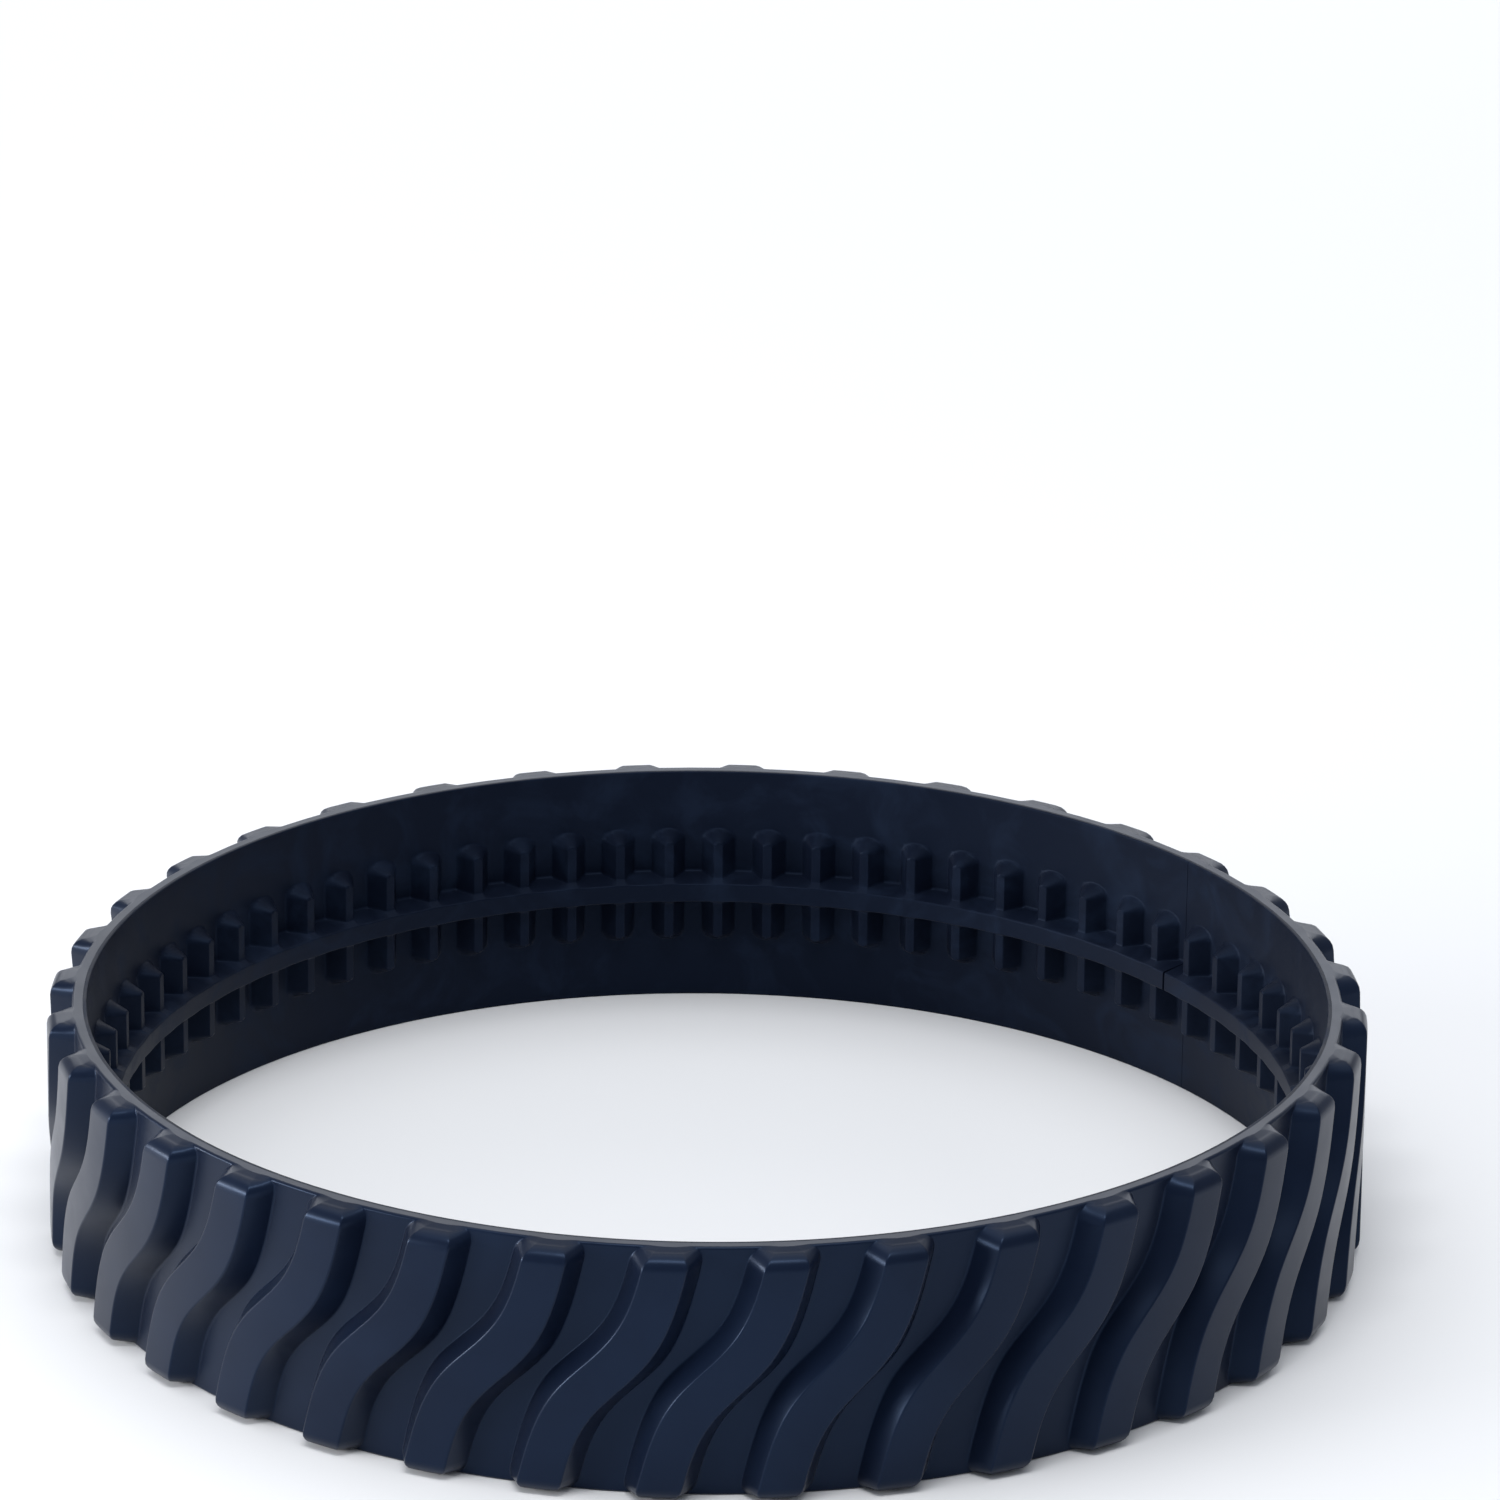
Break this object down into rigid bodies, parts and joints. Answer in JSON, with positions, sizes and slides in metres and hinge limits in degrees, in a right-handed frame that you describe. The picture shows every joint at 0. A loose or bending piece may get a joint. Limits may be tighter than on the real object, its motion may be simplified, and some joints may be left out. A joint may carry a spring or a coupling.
{
  "type": "rubber track",
  "caption": "Endless rubber drive track with wave-shaped tread bars outside, and a guide rib between two rows of drive teeth inside.",
  "frame": {"origin": "middle of the round loop, on the plane of the side edge that it lies on", "axes": "+Z along the loop's axis, up from the side edge it lies on; -Y towards the front link, which is the root"},
  "size_m": [0.2296, 0.2296, 0.0444],
  "materials": {
    "tread_rubber": "moulded, satin, blue-black",
    "lining_rubber": "moulded, satin with a faint bloom, blue-black",
    "tension_cord": "twisted cord laid side by side, uncoated"
  },
  "bodies": {
    "link_01": {"tread_01": "tread_rubber", "cord_ply_01": "tension_cord", "lining_01": "lining_rubber"},
    "link_02": {"tread_02": "tread_rubber", "cord_ply_02": "tension_cord", "lining_02": "lining_rubber"},
    "link_03": {"tread_03": "tread_rubber", "cord_ply_03": "tension_cord", "lining_03": "lining_rubber"},
    "link_04": {"tread_04": "tread_rubber", "cord_ply_04": "tension_cord", "lining_04": "lining_rubber"},
    "link_05": {"tread_05": "tread_rubber", "cord_ply_05": "tension_cord", "lining_05": "lining_rubber"},
    "link_06": {"tread_06": "tread_rubber", "cord_ply_06": "tension_cord", "lining_06": "lining_rubber"},
    "link_07": {"tread_07": "tread_rubber", "cord_ply_07": "tension_cord", "lining_07": "lining_rubber"},
    "link_08": {"tread_08": "tread_rubber", "cord_ply_08": "tension_cord", "lining_08": "lining_rubber"},
    "link_09": {"tread_09": "tread_rubber", "cord_ply_09": "tension_cord", "lining_09": "lining_rubber"},
    "link_10": {"tread_10": "tread_rubber", "cord_ply_10": "tension_cord", "lining_10": "lining_rubber"},
    "link_11": {"tread_11": "tread_rubber", "cord_ply_11": "tension_cord", "lining_11": "lining_rubber"},
    "link_12": {"tread_12": "tread_rubber", "cord_ply_12": "tension_cord", "lining_12": "lining_rubber"},
    "link_13": {"tread_13": "tread_rubber", "cord_ply_13": "tension_cord", "lining_13": "lining_rubber"},
    "link_14": {"tread_14": "tread_rubber", "cord_ply_14": "tension_cord", "lining_14": "lining_rubber"},
    "link_15": {"tread_15": "tread_rubber", "cord_ply_15": "tension_cord", "lining_15": "lining_rubber"},
    "link_16": {"tread_16": "tread_rubber", "cord_ply_16": "tension_cord", "lining_16": "lining_rubber"},
    "link_17": {"tread_17": "tread_rubber", "cord_ply_17": "tension_cord", "lining_17": "lining_rubber"},
    "link_18": {"tread_18": "tread_rubber", "cord_ply_18": "tension_cord", "lining_18": "lining_rubber"}
  },
  "joints": [
    {"name": "flex_01_02", "type": "hinge", "parent": "link_01", "child": "link_02", "pos_m": [0.01895, -0.10749, 0.02223], "axis": [0, 0, 1], "range_deg": [-20, 0]},
    {"name": "flex_02_03", "type": "hinge", "parent": "link_02", "child": "link_03", "pos_m": [0.05457, -0.09453, 0.02223], "axis": [0, 0, 1], "range_deg": [-20, 0]},
    {"name": "flex_03_04", "type": "hinge", "parent": "link_03", "child": "link_04", "pos_m": [0.08361, -0.07016, 0.02223], "axis": [0, 0, 1], "range_deg": [0, 4]},
    {"name": "track_flex", "type": "hinge", "parent": "link_04", "child": "link_05", "pos_m": [0.10257, -0.03733, 0.02223], "axis": [0, 0, 1], "range_deg": [0, 24], "stiffness_Nm_per_rad": 0.2},
    {"name": "flex_05_06", "type": "hinge", "parent": "link_05", "child": "link_06", "pos_m": [0.10915, 0, 0.02223], "axis": [0, 0, 1], "range_deg": [0, 24]},
    {"name": "flex_06_07", "type": "hinge", "parent": "link_06", "child": "link_07", "pos_m": [0.10257, 0.03733, 0.02223], "axis": [0, 0, 1], "range_deg": [0, 24]},
    {"name": "flex_18_01", "type": "hinge", "parent": "link_01", "child": "link_18", "pos_m": [-0.01895, -0.10749, 0.02223], "axis": [0, 0, -1], "range_deg": [-20, 0]},
    {"name": "flex_17_18", "type": "hinge", "parent": "link_18", "child": "link_17", "pos_m": [-0.05457, -0.09453, 0.02223], "axis": [0, 0, -1], "range_deg": [-20, 0]},
    {"name": "flex_16_17", "type": "hinge", "parent": "link_17", "child": "link_16", "pos_m": [-0.08361, -0.07016, 0.02223], "axis": [0, 0, -1], "range_deg": [0, 4]},
    {"name": "flex_15_16", "type": "hinge", "parent": "link_16", "child": "link_15", "pos_m": [-0.10257, -0.03733, 0.02223], "axis": [0, 0, -1], "range_deg": [0, 24]},
    {"name": "flex_14_15", "type": "hinge", "parent": "link_15", "child": "link_14", "pos_m": [-0.10915, 0, 0.02223], "axis": [0, 0, -1], "range_deg": [0, 24]},
    {"name": "flex_13_14", "type": "hinge", "parent": "link_14", "child": "link_13", "pos_m": [-0.10257, 0.03733, 0.02223], "axis": [0, 0, -1], "range_deg": [0, 24]},
    {"name": "flex_12_13", "type": "hinge", "parent": "link_13", "child": "link_12", "pos_m": [-0.08361, 0.07016, 0.02223], "axis": [0, 0, -1], "range_deg": [0, 4]},
    {"name": "flex_11_12", "type": "hinge", "parent": "link_12", "child": "link_11", "pos_m": [-0.05457, 0.09453, 0.02223], "axis": [0, 0, -1], "range_deg": [-20, 0]},
    {"name": "flex_10_11", "type": "hinge", "parent": "link_11", "child": "link_10", "pos_m": [-0.01895, 0.10749, 0.02223], "axis": [0, 0, -1], "range_deg": [-20, 0]},
    {"name": "flex_09_10", "type": "hinge", "parent": "link_10", "child": "link_09", "pos_m": [0.01895, 0.10749, 0.02223], "axis": [0, 0, -1], "range_deg": [-20, 0]},
    {"name": "flex_08_09", "type": "hinge", "parent": "link_09", "child": "link_08", "pos_m": [0.05457, 0.09453, 0.02223], "axis": [0, 0, -1], "range_deg": [-20, 0]}
  ],
  "couplings": [
    {"joint": "flex_01_02", "follows": "track_flex", "ratio": -0.83333},
    {"joint": "flex_02_03", "follows": "track_flex", "ratio": -0.83333},
    {"joint": "flex_03_04", "follows": "track_flex", "ratio": 0.16667},
    {"joint": "flex_05_06", "follows": "track_flex", "ratio": 1},
    {"joint": "flex_06_07", "follows": "track_flex", "ratio": 1},
    {"joint": "flex_18_01", "follows": "track_flex", "ratio": -0.83333},
    {"joint": "flex_17_18", "follows": "track_flex", "ratio": -0.83333},
    {"joint": "flex_16_17", "follows": "track_flex", "ratio": 0.16667},
    {"joint": "flex_15_16", "follows": "track_flex", "ratio": 1},
    {"joint": "flex_14_15", "follows": "track_flex", "ratio": 1},
    {"joint": "flex_13_14", "follows": "track_flex", "ratio": 1},
    {"joint": "flex_12_13", "follows": "track_flex", "ratio": 0.16667},
    {"joint": "flex_11_12", "follows": "track_flex", "ratio": -0.83333},
    {"joint": "flex_10_11", "follows": "track_flex", "ratio": -0.83333},
    {"joint": "flex_09_10", "follows": "track_flex", "ratio": -0.83333},
    {"joint": "flex_08_09", "follows": "track_flex", "ratio": -0.83333}
  ]
}
